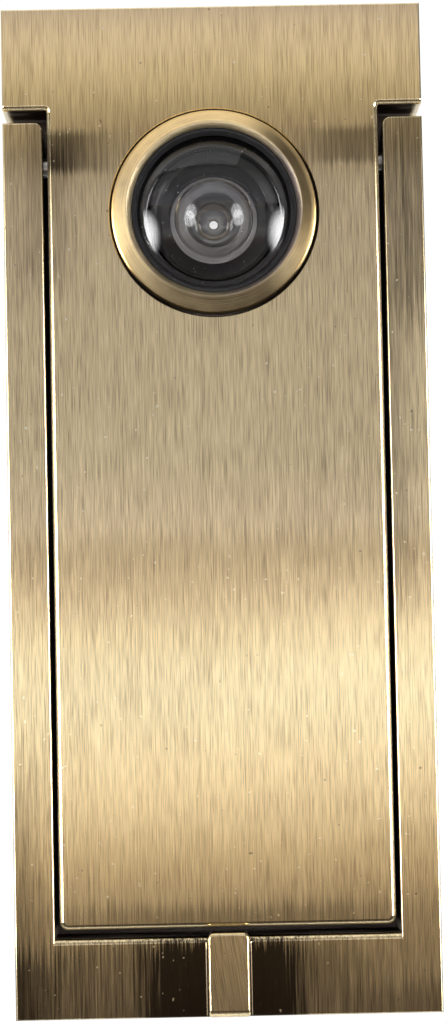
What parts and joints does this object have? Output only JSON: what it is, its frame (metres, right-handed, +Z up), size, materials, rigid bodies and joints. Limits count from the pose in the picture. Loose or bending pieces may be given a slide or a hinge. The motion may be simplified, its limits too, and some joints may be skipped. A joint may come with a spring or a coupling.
{
  "type": "door knocker with viewer",
  "caption": "Rectangular door knocker in brushed antique brass: a U-shaped striker swings round a panel with a wide-angle door viewer.",
  "frame": {"origin": "where the viewer's axis meets the outer face of the door, which is the plane of the casting's back", "axes": "+X to the right seen from the front, +Y into the door along the viewer's axis, +Z up; the front looks along -Y"},
  "size_m": [0.056, 0.066, 0.134],
  "materials": {
    "brushed_brass": "brushed vertically, aged brown in the recesses, lacquered",
    "turned_brass": "turned, with fine circular lines, aged brown",
    "plain_brass": "machined, dull",
    "nickel_steel": "bright nickel plate",
    "spring_steel": "dull",
    "black_plastic": "matt black, moulded",
    "optical_glass": "polished"
  },
  "bodies": {
    "base": {"knocker_base": "brushed_brass", "hinge_pin_left": "nickel_steel", "hinge_pin_right": "nickel_steel", "viewer_housing": "turned_brass", "front_ring": "black_plastic", "front_lens": "optical_glass", "tapered_spacer": "black_plastic", "second_lens": "optical_glass", "tube_spacer": "black_plastic", "third_lens": "optical_glass", "lock_ring": "plain_brass"},
    "striker": {"striker": "brushed_brass"},
    "inner_washer": {"inner_washer": "plain_brass"},
    "inner_half": {"inner_sleeve": "turned_brass", "eyepiece_lens": "optical_glass", "eyepiece_ring": "plain_brass", "cover_rivet": "nickel_steel", "spring_washer": "spring_steel"},
    "privacy_cover": {"privacy_cover": "turned_brass"}
  },
  "joints": [
    {"name": "striker_lift", "type": "hinge", "parent": "base", "child": "striker", "pos_m": [0, -0.007, 0.00685], "axis": [-1, 0, 0], "range_deg": [0, 70]},
    {"name": "inner_half_travel", "type": "slide", "parent": "base", "child": "inner_washer", "axis": [0, 1, 0], "range_m": [-0.009, 0.009]},
    {"name": "inner_half_turn", "type": "hinge", "parent": "inner_washer", "child": "inner_half", "pos_m": [0, 0.045, 0], "axis": [0, 1, 0], "range_deg": [-3240, 3240]},
    {"name": "cover_swivel", "type": "hinge", "parent": "inner_half", "child": "privacy_cover", "pos_m": [0, 0.04945, 0.0082], "axis": [0, -1, 0], "range_deg": [0, 100]}
  ],
  "couplings": [
    {"joint": "inner_half_turn", "follows": "inner_half_travel", "rad_per_m": 6283.2}
  ]
}
